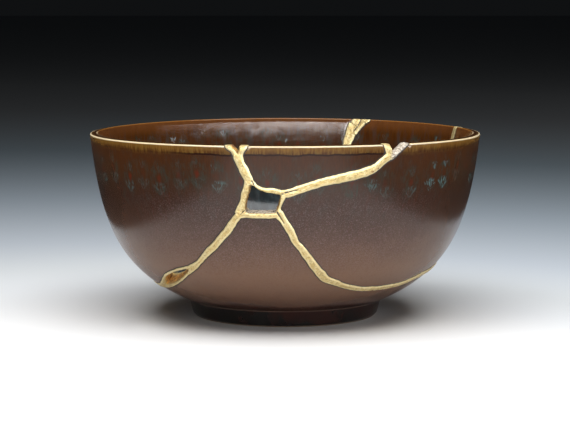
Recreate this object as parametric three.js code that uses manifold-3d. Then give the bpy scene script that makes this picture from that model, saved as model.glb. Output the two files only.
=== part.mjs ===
// Kintsugi bowl: a thrown stoneware bowl that broke and was joined again with raised gold seams.
// Five shards and one connected network of gold. The sixth shard, a small square one in front,
// is lost, so the hole goes right through the wall.
//
// Millimetres, +Z up, origin at the centre of the foot's underside. The front faces -Y.
// A place on the wall is [azimuth, height]: degrees round the bowl from the front towards +X, and
// millimetres up the outer surface. Azimuths run on past 180 where a seam crosses the back.
import * as THREE from 'three';
import { mergeVertices } from 'three/addons/utils/BufferGeometryUtils.js';
import Module from 'manifold-3d';

// Driving dimensions: the thrown bowl
const LIP_RADIUS = 84.85;        // outer surface where the lip's rounding starts
const LIP_HEIGHT = 79.56;
const LIP_CORNER = 0.55;        // rounding of the lip's two edges, with a flat between them
const WAIST_RADIUS = 42.2;       // where the wall meets the foot
const WAIST_HEIGHT = 7.15;
const LIP_WALL = 3.4;            // wall thickness at the lip
const LOW_WALL = 5.8;            // wall thickness at the foot
const FLOOR_HEIGHT = 8.4;        // middle of the inside
const FOOT_RADIUS = 40.3;        // foot ring, outside
const FOOT_INSIDE_RADIUS = 34;   // foot ring, inside
const FOOT_RECESS = 3.4;         // underside within the ring
const FOOT_EDGE = 0.8;           // softened edges of the ring
const FOOT_HOLLOW = 2;           // run of the slope from the ring's inside up to the underside
const LOW_SWELL = [72.7, 20.15]; // how far the low wall swells: its curve's handle, [radius, height]
const HIGH_SWELL = [80.35, 39.6]; // the same below the lip

// Driving dimensions: the mending
const GOLD_RISE = 0.5;           // the gold stands proud of the glaze, inside and out
const GAP = 0.3;                 // between the gold and the shards
const GOLD_LOWEST = 11;          // no seam comes lower than this

// Fineness
const ROUND_STEPS = 56;
const WALL_STEPS = 8;
const CORNER_STEPS = 2;
const FLOOR_STEPS = 3;
const SEAM_STEP = 7.5;           // length of one step along a seam
const REACH = 2;                 // how far a cut runs past the wall on either side
const NUDGE = 0.01;              // share of a seam between the points that give its direction
const HALVINGS = 30;             // halvings that find a height on the wall's curve

// Seams: [azimuth, height, width across the seam]
const SEAMS = {
  left_notch_left: [[-16.6, 81.7, 2.2], [-15.7, 80.0, 2.2], [-14.2, 78.3, 2.2], [-13.2, 75.9, 2.4]],
  left_notch_right: [[-10.7, 81.7, 3.4], [-11.1, 80.0, 3.2], [-11.8, 77.9, 2.6], [-12.6, 75.9, 3.0]],
  front_main: [
    [-13.1, 76.9, 3.4], [-12.8, 75.7, 4.2], [-12.2, 73.2, 3.8], [-11.3, 70.7, 3.9],
    [-10.5, 68.2, 3.7], [-9.9, 66.0, 3.7], [-9.8, 64.6, 3.5]],
  hole_left: [
    [-10.0, 66.1, 3.3], [-10.2, 64.7, 3.3], [-10.6, 62.2, 3.7], [-11.3, 59.6, 3.6],
    [-11.8, 57.3, 3.4], [-12.4, 54.8, 4.0], [-13.1, 52.3, 4.2]],
  hole_top: [
    [-9.7, 65.8, 2.6], [-8.3, 64.0, 2.3], [-7.0, 62.8, 2.4], [-5.5, 62.2, 2.7],
    [-3.7, 62.0, 3.3], [-2.0, 61.6, 3.0], [-0.3, 61.2, 2.8], [1.0, 61.1, 3.0]],
  hole_right: [
    [-0.5, 61.3, 3.0], [-0.7, 59.7, 2.9], [-1.0, 58.3, 2.3], [-1.4, 56.7, 2.1],
    [-1.8, 55.2, 2.2], [-2.0, 52.9, 2.8]],
  hole_bottom: [
    [-13.4, 52.0, 2.6], [-11.4, 52.2, 2.5], [-7.1, 52.0, 2.8], [-4.8, 52.1, 2.5], [-2.0, 52.2, 2.4]],
  rising_right: [
    [-1.0, 61.1, 2.8], [0.8, 61.2, 3.3], [5.8, 63.6, 3.4], [11.2, 65.8, 3.6],
    [17.1, 67.5, 3.9], [22.9, 69.3, 4.0], [25.8, 71.0, 3.4], [27.6, 73.1, 3.6],
    [29.3, 74.9, 3.9], [30.3, 75.6, 3.6]],
  right_notch_left: [
    [30.5, 75.3, 3.2], [29.7, 76.5, 3.4], [29.3, 77.7, 2.8], [28.7, 79.7, 2.4], [28.3, 81.7, 2.4]],
  right_notch_right: [
    [30.3, 74.9, 2.6], [31.4, 75.0, 1.4], [32.3, 75.9, 1.0], [33.4, 77.2, 0.9],
    [34.6, 78.6, 0.9], [36.0, 80.0, 0.9], [37.4, 81.9, 0.9]],
  falling_left: [
    [-12.8, 53.4, 3.4], [-13.3, 52.3, 3.2], [-14.8, 49.7, 3.2], [-16.9, 45.9, 3.4],
    [-19.3, 42.5, 3.2], [-21.6, 39.2, 3.3], [-24.3, 36.3, 3.1], [-27.2, 33.0, 2.7],
    [-30.3, 30.0, 2.8], [-33.9, 27.6, 3.6], [-38.2, 25.6, 5.2], [-42.8, 23.4, 6.6],
    [-49.0, 20.7, 6.9], [-54.7, 18.3, 5.8], [-60.0, 16.8, 4.2], [-66.0, 15.7, 3.4],
    [-80.0, 14.9, 3.3], [-96.0, 15.2, 3.2], [-112.0, 17.0, 3.4], [-128.0, 20.4, 3.5],
    [-142.0, 24.4, 3.4], [-156.0, 28.6, 3.5], [-170.0, 32.0, 3.6], [-187.0, 34.0, 3.6]],
  falling_right: [
    [-2.2, 53.9, 3.4], [-1.8, 52.9, 4.2], [-0.5, 50.4, 3.4], [1.2, 46.7, 3.3],
    [2.5, 43.2, 3.0], [3.6, 40.4, 3.0], [5.5, 37.5, 3.2], [7.3, 34.0, 3.5],
    [9.4, 30.7, 3.6], [11.9, 27.0, 4.0], [14.6, 24.2, 3.9], [18.6, 22.3, 3.4],
    [23.9, 20.2, 3.2], [30.8, 18.5, 3.3], [38.1, 18.0, 3.3], [46.4, 18.0, 3.4],
    [54.0, 18.4, 3.4], [64.8, 20.8, 3.4], [76.0, 22.0, 3.3], [92.0, 22.6, 3.2],
    [108.0, 22.0, 3.3], [122.0, 22.0, 3.4], [138.0, 24.6, 3.4], [150.0, 28.0, 3.4],
    [162.0, 31.6, 3.5], [175.0, 34.0, 3.6]],
  back_wide: [
    [156.3, 77.4, 5.6], [157.0, 74.6, 5.8], [157.5, 72.0, 5.3], [158.1, 69.7, 4.8], [158.6, 67.0, 4.2],
    [159.9, 60.0, 3.8], [161.7, 52.0, 3.6],
    [165.3, 44.0, 3.5], [170.1, 37.6, 3.5], [174.9, 33.4, 3.6]],
  back_left_lobe: [
    [155.2, 82.0, 3.2], [155.4, 80.6, 3.6], [155.8, 79.0, 4.0], [156.5, 77.0, 4.0], [157.1, 74.8, 3.8]],
  back_right_lobe: [
    [149.9, 82.2, 2.4], [150.5, 81.0, 2.6], [151.5, 79.8, 2.8], [152.8, 78.6, 2.9],
    [154.0, 77.0, 2.8], [155.1, 75.0, 2.8], [156.1, 72.6, 2.8]],
  back_thin: [
    [109.3, 81.6, 3.0], [109.9, 78.6, 3.1], [110.6, 74.5, 3.1], [111.6, 66.0, 2.8],
    [110.9, 56.0, 2.7], [112.3, 46.0, 2.6], [114.5, 36.0, 2.7], [115.6, 28.0, 2.8],
    [115.2, 21.4, 3.0]],
};

// The long leaf-shaped opening low on the left, inside the seam there: [azimuth, height, width]
const LEAF_SLOT = [[-34.9, 27.3, 0.5], [-37.3, 26.0, 2.4], [-40.7, 24.4, 4.0], [-45.1, 22.4, 4.6],
  [-49.7, 20.4, 4.2], [-53.3, 18.9, 2.6], [-55.9, 17.9, 0.5]];

// Places where something is lost right through the wall: outlines of [azimuth, height]
const LOST = {
  square_shard: [
    [-9.9, 64.6], [-8.5, 64.3], [-7.7, 62.9], [-6.3, 62.1], [-4.1, 61.3], [-1.1, 60.8],
    [-1.2, 58.6], [-1.6, 56.5], [-2.5, 52.9], [-4.8, 52.9], [-11.4, 52.8], [-11.6, 55.5],
    [-10.9, 59.2], [-10.1, 62.1]],
  left_notch: [
    [-12.8, 76.5], [-12.6, 78.0], [-12.2, 80.0], [-11.8, 82.8], [-16.6, 82.8],
    [-15.2, 80.0], [-13.6, 78.3]],
  right_notch: [
    [31.0, 76.1], [31.8, 76.1], [33.0, 77.4], [34.2, 78.8], [35.5, 80.1], [37.4, 82.8],
    [28.7, 82.8], [29.7, 79.7], [30.5, 77.8]],
  rim_nick: [[153.6, 79.4], [153.9, 79.4], [154.4, 83.2], [152.8, 83.2]],
};

// Each shard by a place on it
const SHARDS = {
  base_shard: [0, WAIST_HEIGHT],
  left_shard: [-90, LIP_HEIGHT],
  front_rim_shard: [10, LIP_HEIGHT],
  right_shard: [70, LIP_HEIGHT],
  back_shard: [130, LIP_HEIGHT],
};

// The outer surface of the wall, in [radius, height]: steep at the lip, turning in to the foot.
const outerWall = new THREE.CubicBezierCurve(
  new THREE.Vector2(WAIST_RADIUS, WAIST_HEIGHT),
  new THREE.Vector2(...LOW_SWELL),
  new THREE.Vector2(...HIGH_SWELL),
  new THREE.Vector2(LIP_RADIUS, LIP_HEIGHT),
);

// A point of the outer wall at a share of its curve, with its outward normal and wall thickness.
function section(share) {
  const along = outerWall.getTangent(share);
  return {
    point: outerWall.getPoint(share),
    along,
    normal: new THREE.Vector2(along.y, -along.x),
    thickness: THREE.MathUtils.lerp(LOW_WALL, LIP_WALL, share),
  };
}

// The share of the outer wall's curve at a height, by halving.
function shareAt(height) {
  let low = 0;
  let high = 1;
  for (let i = 0; i < HALVINGS; i += 1) {
    const middle = (low + high) / 2;
    if (outerWall.getPoint(middle).y < height) low = middle;
    else high = middle;
  }
  return low;
}

// A place on the wall in space, at the end of a cut through it: `face` is 1 on the outside and -1
// on the inside, and the cut runs REACH past the wall. Above the lip the wall's line goes straight on.
function place(azimuth, height, face) {
  const { point, along, normal, thickness } = section(shareAt(height));
  const above = Math.max(0, height - LIP_HEIGHT) / along.y;
  const offset = face > 0 ? REACH : -thickness - REACH;
  const flat = point.addScaledVector(along, above).addScaledVector(normal, offset);
  const angle = THREE.MathUtils.degToRad(azimuth);
  return new THREE.Vector3(flat.x * Math.sin(angle), -flat.x * Math.cos(angle), flat.y);
}

// Moves every vertex of a geometry by a function of its old place.
function bend(geometry, move) {
  const position = geometry.getAttribute('position');
  const vertex = new THREE.Vector3();
  for (let i = 0; i < position.count; i += 1) {
    const moved = move(vertex.fromBufferAttribute(position, i));
    position.setXYZ(i, moved.x, moved.y, moved.z);
  }
  return geometry;
}

// A band through the wall along stations of [azimuth, height, width], `extra` wider on either side.
function seamGeometry(stations, extra = 0) {
  const route = new THREE.CatmullRomCurve3(stations.map((station) => new THREE.Vector3(...station)));
  const middle = new THREE.CatmullRomCurve3(
    stations.map(([azimuth, height]) => place(azimuth, height, 1)),
  );
  const steps = Math.max(3, Math.ceil(middle.getLength() / SEAM_STEP));
  const bar = new THREE.BoxGeometry(1, 1, 1, steps, 1, 1);
  return bend(bar, ({ x, y, z }) => {
    const share = THREE.MathUtils.clamp(x + 0.5, 0, 1);
    const here = route.getPoint(share);
    const before = route.getPoint(Math.max(0, share - NUDGE));
    const after = route.getPoint(Math.min(1, share + NUDGE));
    const forward = place(after.x, after.y, 1).sub(place(before.x, before.y, 1));
    const through = place(here.x, here.y, 1).sub(place(here.x, here.y, -1));
    const across = through.clone().cross(forward).normalize();
    return place(here.x, here.y, Math.sign(z)).addScaledVector(across, 2 * y * (here.z / 2 + extra));
  });
}

// A cut through the wall with an outline of [azimuth, height].
function lostGeometry(outline) {
  const shape = new THREE.Shape(outline.map(([azimuth, height]) => new THREE.Vector2(azimuth, height)));
  const slab = new THREE.ExtrudeGeometry(shape, { depth: 1, bevelEnabled: false });
  return bend(slab, ({ x, y, z }) => place(x, y, z < 0.5 ? -1 : 1));
}

// The wall's outline from a share of its curve up the outside, over the lip and down the inside,
// `grow` bigger all round.
function wallOutline(from, grow) {
  const levels = [];
  for (let i = 0; i <= WALL_STEPS; i += 1) levels.push(section(from + (1 - from) * (i / WALL_STEPS)));
  const outside = levels.map(({ point, normal }) => point.clone().addScaledVector(normal, grow));
  const inside = levels.map(({ point, normal, thickness }) => (
    point.clone().addScaledVector(normal, -thickness - grow)));
  const { point, along, normal } = section(1);
  const lipMiddle = point.clone().addScaledVector(normal, -LIP_WALL / 2);
  const corner = (i, side) => {
    const angle = (Math.PI / 2) * (i / CORNER_STEPS);
    const reach = LIP_CORNER + grow;
    return lipMiddle.clone()
      .addScaledVector(normal, side * (LIP_WALL / 2 - LIP_CORNER + reach * Math.cos(angle)))
      .addScaledVector(along, reach * Math.sin(angle));
  };
  const turns = Array.from({ length: CORNER_STEPS }, (_, i) => i + 1);
  const lip = [...turns.map((i) => corner(i, 1)), ...turns.reverse().map((i) => corner(i, -1))];
  return [...outside, ...lip, ...inside.reverse()];
}

// A round body from an outline of [radius, height], turned about the bowl's axis.
function turned(outline) {
  return new THREE.LatheGeometry(outline, ROUND_STEPS).rotateX(Math.PI / 2);
}

// The whole thrown bowl: underside, foot ring, wall, lip and the inside down to its floor.
function thrownBowl() {
  const foot = [
    [0, FOOT_RECESS],
    [FOOT_INSIDE_RADIUS - FOOT_HOLLOW, FOOT_RECESS],
    [FOOT_INSIDE_RADIUS - FOOT_EDGE, FOOT_EDGE],
    [FOOT_INSIDE_RADIUS, 0],
    [FOOT_RADIUS - FOOT_EDGE, 0],
    [FOOT_RADIUS, FOOT_EDGE],
  ].map(([radius, height]) => new THREE.Vector2(radius, height));
  const wall = wallOutline(0, 0);
  const corner = wall[wall.length - 1];
  const slope = section(0).along;
  const bendRadius = corner.x - (corner.y - FLOOR_HEIGHT) * (slope.x / slope.y);
  const floor = new THREE.QuadraticBezierCurve(
    corner,
    new THREE.Vector2(bendRadius, FLOOR_HEIGHT),
    new THREE.Vector2(0, FLOOR_HEIGHT),
  ).getPoints(FLOOR_STEPS).slice(1);
  return turned([...foot, ...wall, ...floor]);
}

// The ring of space that the gold can fill: the wall, grown by how far the gold stands proud.
function goldSpace() {
  const ring = wallOutline(shareAt(GOLD_LOWEST), GOLD_RISE);
  return turned([...ring, ring[0].clone()]);
}

const wasm = await Module();
wasm.setup();

// A closed geometry as a solid that can be joined and cut.
function solid(geometry) {
  const bare = geometry.clone();
  bare.deleteAttribute('normal');
  bare.deleteAttribute('uv');
  const { attributes, index } = mergeVertices(bare);
  return new wasm.Manifold(new wasm.Mesh({
    numProp: 3,
    vertProperties: attributes.position.array,
    triVerts: new Uint32Array(index.array),
  }));
}

function join(solids) {
  return solids.reduce((sum, next) => sum.add(next));
}

// A solid as a named mesh of the scene.
function mesh(name, shape, look) {
  const { vertProperties, triVerts } = shape.getMesh();
  const geometry = new THREE.BufferGeometry();
  geometry.setAttribute('position', new THREE.BufferAttribute(vertProperties, 3));
  geometry.setIndex(new THREE.BufferAttribute(triVerts, 1));
  geometry.computeVertexNormals();
  const made = new THREE.Mesh(geometry, new THREE.MeshStandardMaterial(look));
  made.name = name;
  return made;
}

// The shard, of several, that has the vertex nearest to a place.
function shardAt(shards, azimuth, height) {
  const target = place(azimuth, height, 1);
  const vertex = new THREE.Vector3();
  const distance = (shard) => {
    const { vertProperties } = shard.getMesh();
    let nearest = Infinity;
    for (let i = 0; i < vertProperties.length; i += 3) {
      nearest = Math.min(nearest, vertex.fromArray(vertProperties, i).distanceTo(target));
    }
    return nearest;
  };
  return shards.reduce((best, shard) => (distance(shard) < distance(best) ? shard : best));
}

const seams = Object.values(SEAMS);
const lost = join([...Object.values(LOST).map(lostGeometry), seamGeometry(LEAF_SLOT)].map(solid));
const goldBands = join(seams.map((stations) => solid(seamGeometry(stations))));
const clearance = join(seams.map((stations) => solid(seamGeometry(stations, GAP))));
const shards = solid(thrownBowl()).subtract(clearance).subtract(lost).decompose();
const gold = goldBands.intersect(solid(goldSpace())).subtract(lost);

const GLAZE = { color: 0x4b2f22, roughness: 0.25, metalness: 0 };
const GOLD = { color: 0xd9bf86, roughness: 0.45, metalness: 0.9 };

const bowl = new THREE.Group();
for (const [name, [azimuth, height]] of Object.entries(SHARDS)) {
  bowl.add(mesh(name, shardAt(shards, azimuth, height), GLAZE));
}
bowl.add(mesh('gold_seams', gold, GOLD));

export default bowl;
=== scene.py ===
import math

import bpy
import numpy as np
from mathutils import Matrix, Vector, kdtree, noise
from mathutils.geometry import delaunay_2d_cdt


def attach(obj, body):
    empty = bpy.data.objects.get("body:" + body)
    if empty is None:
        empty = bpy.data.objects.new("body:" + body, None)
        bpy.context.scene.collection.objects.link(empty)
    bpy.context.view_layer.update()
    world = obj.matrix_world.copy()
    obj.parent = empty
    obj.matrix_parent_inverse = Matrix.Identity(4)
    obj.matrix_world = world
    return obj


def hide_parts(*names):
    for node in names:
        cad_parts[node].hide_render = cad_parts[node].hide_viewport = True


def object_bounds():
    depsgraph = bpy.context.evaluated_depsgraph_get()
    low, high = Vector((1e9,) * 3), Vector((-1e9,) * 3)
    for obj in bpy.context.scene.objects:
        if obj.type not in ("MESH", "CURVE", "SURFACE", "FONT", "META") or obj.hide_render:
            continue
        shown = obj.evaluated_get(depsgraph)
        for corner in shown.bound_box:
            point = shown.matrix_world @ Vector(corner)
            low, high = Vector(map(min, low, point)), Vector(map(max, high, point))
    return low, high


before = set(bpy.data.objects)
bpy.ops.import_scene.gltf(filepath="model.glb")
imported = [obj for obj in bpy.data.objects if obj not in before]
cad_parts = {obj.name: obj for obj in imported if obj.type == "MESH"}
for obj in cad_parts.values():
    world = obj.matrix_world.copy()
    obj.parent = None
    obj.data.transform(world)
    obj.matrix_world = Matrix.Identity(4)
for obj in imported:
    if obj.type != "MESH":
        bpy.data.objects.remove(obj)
cad_low, cad_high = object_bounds()

MM = 0.001


# ---- The thrown bowl's sizes, in mm

LIP_RADIUS = cad_high.x / MM
LIP_HEIGHT = 79.36
WAIST_RADIUS = 42.2
WAIST_HEIGHT = 7.15
LIP_WALL = 3.4
LOW_WALL = 5.8
FLOOR_HEIGHT = 8.4
RING_HEIGHT = 0.10        # throwing rings on the inside floor
RING_GAP = 6.2
FOOT_RADIUS = 40.3
FOOT_INSIDE_RADIUS = 34.0
FOOT_RECESS = 3.4
LOW_SWELL = (72.7, 20.15)
HIGH_SWELL = (80.35, 39.6)
LIP_CORNER = 0.55         # the lip's two edges are rounded, with a flat between them
LIP_SWAY = 0.2            # front and back of the lip stand this much above its middle height

GOLD_RISE = 0.42          # the flat of the gold above the glaze
GOLD_SHOULDER = 0.95      # how far in from its edge the gold is still rounding over
GOLD_LIMIT = 0.49         # its highest grain
LIP_THINNING = 0.8        # share of its rise that the gold loses on top of the lip
BREAK_BULGE = {"gold": 0.28, "glaze": 0.0}   # how far a broken edge swells into its opening
BREAK_ROUGHNESS = [(0.22, 1.3, 6), (0.12, 0.6, 7)]   # its lumps: height, size and seed
GOLD_ROUGHNESS = [(0.10, 2.6, 1), (0.06, 1.1, 2), (0.05, 0.6, 3)]   # the same on the gold's face
STROKE_DEPTH = 0.05       # brush strokes that run along the gold
BREAK_LIP = 0.7           # the gold rounds over this far before an open break
BREAK_DROP = 0.22         # and comes down by this much
SEAM_WAVER = [(0.30, 4.5, 0.37), (0.16, 1.3, 0.71)]   # uneven sides: height, length and seed
CREASE_DEPTH = 0.45
NOTES = {
    "glaze": ("edge", "run"),
    "gold": ("edge", "open", "along", "across", "silver", "crease"),
}
GLAZE_DIP = 0.03          # the glaze rolls off where it meets the gold
BREAK_STEPS = 8           # rows of mesh through the wall on an open break

COLUMNS = 360             # round the bowl
TURNS = np.arange(COLUMNS) * 2 * math.pi / COLUMNS
LINE_STEP = 0.42          # along a seam's edge
GRAIN_TURN = 2 * math.pi / 1260   # the gold's own mesh, round the bowl
FENCE = 0.3               # first glaze vertices beside a seam
FENCE_CLEARANCE = 0.1     # a seam's fence stays this far off the other seams
ROW_CLEARANCE = 0.55      # the glaze's rows stay this far off every seam
GRAIN_INSET = 0.3         # the gold's own mesh stays this far inside the seams
CORNER_ROWS = 6           # rows of glaze mesh round each edge of the lip
SPECK = 200               # a piece of glaze with fewer triangles than this is under the gold
FAR = 6.0                 # distances on the glaze and gold are told apart up to here

# Seams, as [azimuth, height, width across the seam]: degrees round the bowl from the front
# towards +X, and millimetres up its outside.
SEAMS = {
    "left_notch_left": [
        [-16.6, 81.7, 2.2], [-15.7, 80.0, 2.2], [-14.2, 78.3, 2.2], [-13.2, 75.9, 2.4]],
    "left_notch_right": [
        [-10.7, 81.7, 3.4], [-11.1, 80.0, 3.2], [-11.8, 77.9, 2.6], [-12.6, 75.9, 3.0]],
    "front_main": [
        [-13.1, 76.9, 3.4], [-12.8, 75.7, 4.2], [-12.2, 73.2, 3.8], [-11.3, 70.7, 3.9], [-10.5, 68.2, 3.7],
        [-9.9, 66.0, 3.7], [-9.8, 64.6, 3.5]],
    "hole_left": [
        [-10.0, 66.1, 3.3], [-10.2, 64.7, 3.3], [-10.6, 62.2, 3.7], [-11.3, 59.6, 3.6], [-11.8, 57.3, 3.4],
        [-12.4, 54.8, 4.0], [-13.1, 52.3, 4.2]],
    "hole_top": [
        [-9.7, 65.8, 2.6], [-8.3, 64.0, 2.3], [-7.0, 62.8, 2.4], [-5.5, 62.2, 2.7], [-3.7, 62.0, 3.3],
        [-2.0, 61.6, 3.0], [-0.3, 61.2, 2.8], [1.0, 61.1, 3.0]],
    "hole_right": [
        [-0.5, 61.3, 3.0], [-0.7, 59.7, 2.9], [-1.0, 58.3, 2.3], [-1.4, 56.7, 2.1], [-1.8, 55.2, 2.2],
        [-2.0, 52.9, 2.8]],
    "hole_bottom": [
        [-13.4, 52.0, 2.6], [-11.4, 52.2, 2.5], [-7.1, 52.0, 2.8], [-4.8, 52.1, 2.5], [-2.0, 52.2, 2.4]],
    "rising_right": [
        [-1.0, 61.1, 2.8], [0.8, 61.2, 3.3], [5.8, 63.6, 3.4], [11.2, 65.8, 3.6], [17.1, 67.5, 3.9],
        [22.9, 69.3, 4.0], [25.8, 71.0, 3.4], [27.6, 73.1, 3.6], [29.3, 74.9, 3.9], [30.3, 75.6, 3.6]],
    "right_notch_left": [
        [30.5, 75.3, 3.2], [29.7, 76.5, 3.4], [29.3, 77.7, 2.8], [28.7, 79.7, 2.4], [28.3, 81.7, 2.4]],
    "right_notch_right": [
        [30.3, 74.9, 2.6], [31.4, 75.0, 1.4], [32.3, 75.9, 1.0], [33.4, 77.2, 0.9], [34.6, 78.6, 0.9],
        [36.0, 80.0, 0.9], [37.4, 81.9, 0.9]],
    "falling_left": [
        [-12.8, 53.4, 3.4], [-13.3, 52.3, 3.2], [-14.8, 49.7, 3.2], [-16.9, 45.9, 3.4], [-19.3, 42.5, 3.2],
        [-21.6, 39.2, 3.3], [-24.3, 36.3, 3.1], [-27.2, 33.0, 2.7], [-30.3, 30.0, 2.8], [-33.9, 27.6, 3.6],
        [-38.2, 25.6, 5.2], [-42.8, 23.4, 6.6], [-49.0, 20.7, 6.9], [-54.7, 18.3, 5.8], [-60.0, 16.8, 4.2],
        [-66.0, 15.7, 3.4], [-80.0, 14.9, 3.3], [-96.0, 15.2, 3.2], [-112.0, 17.0, 3.4],
        [-128.0, 20.4, 3.5], [-142.0, 24.4, 3.4], [-156.0, 28.6, 3.5], [-170.0, 32.0, 3.6],
        [-187.0, 34.0, 3.6]],
    "falling_right": [
        [-2.2, 53.9, 3.4], [-1.8, 52.9, 4.2], [-0.5, 50.4, 3.4], [1.2, 46.7, 3.3], [2.5, 43.2, 3.0],
        [3.6, 40.4, 3.0], [5.5, 37.5, 3.2], [7.3, 34.0, 3.5], [9.4, 30.7, 3.6], [11.9, 27.0, 4.0],
        [14.6, 24.2, 3.9], [18.6, 22.3, 3.4], [23.9, 20.2, 3.2], [30.8, 18.5, 3.3], [38.1, 18.0, 3.3],
        [46.4, 18.0, 3.4], [54.0, 18.4, 3.4], [64.8, 20.8, 3.4], [76.0, 22.0, 3.3], [92.0, 22.6, 3.2],
        [108.0, 22.0, 3.3], [122.0, 22.0, 3.4], [138.0, 24.6, 3.4], [150.0, 28.0, 3.4], [162.0, 31.6, 3.5],
        [175.0, 34.0, 3.6]],
    "back_wide": [
        [156.3, 77.4, 5.6], [157.0, 74.6, 5.8], [157.5, 72.0, 5.3], [158.1, 69.7, 4.8], [158.6, 67.0, 4.2],
        [159.9, 60.0, 3.8], [161.7, 52.0, 3.6], [165.3, 44.0, 3.5], [170.1, 37.6, 3.5], [174.9, 33.4, 3.6]],
    "back_left_lobe": [
        [155.2, 82.0, 3.2], [155.4, 80.6, 3.6], [155.8, 79.0, 4.0], [156.5, 77.0, 4.0], [157.1, 74.8, 3.8]],
    "back_right_lobe": [
        [149.9, 82.2, 2.4], [150.5, 81.0, 2.6], [151.5, 79.8, 2.8], [152.8, 78.6, 2.9], [154.0, 77.0, 2.8],
        [155.1, 75.0, 2.8], [156.1, 72.6, 2.8]],
    "back_thin": [
        [109.3, 81.6, 3.0], [109.9, 78.6, 3.1], [110.6, 74.5, 3.1], [111.6, 66.0, 2.8], [110.9, 56.0, 2.7],
        [112.3, 46.0, 2.6], [114.5, 36.0, 2.7], [115.6, 28.0, 2.8], [115.2, 21.4, 3.0]],
}

# The long leaf-shaped opening low on the left: [azimuth, height, width]
LEAF_SLOT = [
    [-34.9, 27.3, 0.5], [-37.3, 26.0, 2.4], [-40.7, 24.4, 4.0], [-45.1, 22.4, 4.6],
    [-49.7, 20.4, 4.2], [-53.3, 18.9, 2.6], [-55.9, 17.9, 0.5]]

# Places where something is lost right through the wall: outlines of [azimuth, height]
LOST = {
    "square_shard": [
        [-9.9, 64.6], [-8.5, 64.3], [-7.7, 62.9], [-6.3, 62.1], [-4.1, 61.3], [-1.1, 60.8],
        [-1.2, 58.6], [-1.6, 56.5], [-2.5, 52.9], [-4.8, 52.9], [-11.4, 52.8], [-11.6, 55.5],
        [-10.9, 59.2], [-10.1, 62.1]],
    "left_notch": [
        [-12.8, 76.5], [-12.6, 78.0], [-12.2, 80.0], [-11.8, 82.8], [-16.6, 82.8],
        [-15.2, 80.0], [-13.6, 78.3]],
    "right_notch": [
        [31.0, 76.1], [31.8, 76.1], [33.0, 77.4], [34.2, 78.8], [35.5, 80.1], [37.4, 82.8],
        [28.7, 82.8], [29.7, 79.7], [30.5, 77.8]],
    "rim_nick": [[153.6, 79.4], [153.9, 79.4], [154.4, 83.2], [152.8, 83.2]],
}

# Where two beads of gold meet and leave a crack between them: [azimuth, height, width]
CREASES = {
    "above_right_corner": [[-0.9, 60.8, 0.5], [0.1, 61.5, 0.6], [1.4, 62.0, 0.5], [3.8, 62.6, 0.2]],
    "below_right_corner": [[-2.2, 53.5, 0.6], [-1.7, 52.3, 0.5], [-0.9, 50.4, 0.4], [-0.3, 49.0, 0.2]],
    "below_front_seam": [[-9.4, 66.8, 0.2], [-9.0, 65.9, 0.4], [-8.6, 64.7, 0.4]],
    "left_of_opening": [[-12.7, 52.5, 0.2], [-12.2, 53.3, 0.4], [-11.6, 54.0, 0.4]],
    "between_back_lobes": [[153.8, 80.4, 0.5], [154.4, 77.8, 0.5], [155.4, 75.6, 0.4], [156.5, 73.6, 0.2]],
}

# Where the powder is silver: the face of a break, or a whole bead
SILVER_FACES = [[[-13.0, 52.6], [-7.0, 52.6], [-2.4, 52.8]]]
SILVER_BEADS = [[[31.8, 75.6], [33.6, 77.6], [37.2, 81.8]]]

# Each shard by a place on it
SHARDS = {
    "base_shard": (0, 20),
    "left_shard": (-90, 60),
    "front_rim_shard": (10, 74),
    "right_shard": (70, 60),
    "back_shard": (130, 60),
}


# ---- The wall's profile

def unit(vectors):
    return vectors / np.linalg.norm(vectors, axis=-1, keepdims=True)


def bezier(handles, share):
    """Points of the curve with these handles, at shares of it."""
    share = np.asarray(share, float)[:, None]
    last = len(handles) - 1
    return sum(
        math.comb(last, i) * (1 - share) ** (last - i) * share ** i * np.array(handle, float)
        for i, handle in enumerate(handles))


PROFILE_SAMPLES = 1600
share = np.linspace(0, 1, PROFILE_SAMPLES)
outline = bezier([(WAIST_RADIUS, WAIST_HEIGHT), LOW_SWELL, HIGH_SWELL, (LIP_RADIUS, LIP_HEIGHT)], share)
along = unit(np.gradient(outline, axis=0))
outward = np.stack([along[:, 1], -along[:, 0]], 1)
wall_thickness = LOW_WALL + (LIP_WALL - LOW_WALL) * share
climb = np.concatenate([[0], np.cumsum(np.linalg.norm(np.diff(outline, axis=0), axis=1))])
WALL_CLIMB = climb[-1]                              # up the outside, foot to lip
LIP_TURN = LIP_CORNER * math.pi / 2                 # round the lip's edge
LIP_FLAT = LIP_WALL / 2 - LIP_CORNER                # and on to the middle of its top
TOP_CLIMB = WALL_CLIMB + LIP_TURN + LIP_FLAT
lip_out, lip_up = outward[-1], along[-1]
lip_middle = outline[-1] - lip_out * LIP_WALL / 2

# The wall laid flat: a disc on which distances shrink alike in both directions.
flat_climb = np.append(climb, np.linspace(WALL_CLIMB, TOP_CLIMB + 4, 40)[1:])
flat_round = np.append(outline[:, 0], np.full(39, LIP_RADIUS))
flat_log = np.concatenate([[0], np.cumsum(np.diff(flat_climb) * 2 / (flat_round[1:] + flat_round[:-1]))])
flat_log += math.log(LIP_RADIUS) - np.interp(TOP_CLIMB, flat_climb, flat_log)


def climb_at(height):
    """How far up the wall's outside a height is. Over the lip, as seen level with it."""
    height = np.asarray(height, float)
    over = np.clip((height - LIP_HEIGHT) / lip_up[1] / LIP_CORNER, 0, None)
    lip = LIP_CORNER * np.arcsin(np.clip(over, 0, 1)) + 2 * LIP_CORNER * np.clip(over - 1, 0, None)
    return np.interp(height, outline[:, 1], climb) + lip


def flat(azimuth, up):
    """A place of the wall on the flat disc. Azimuth in radians, up in mm of climb."""
    reach = np.exp(np.interp(up, flat_climb, flat_log))
    return np.stack([reach * np.sin(azimuth), -reach * np.cos(azimuth)], -1)


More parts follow.
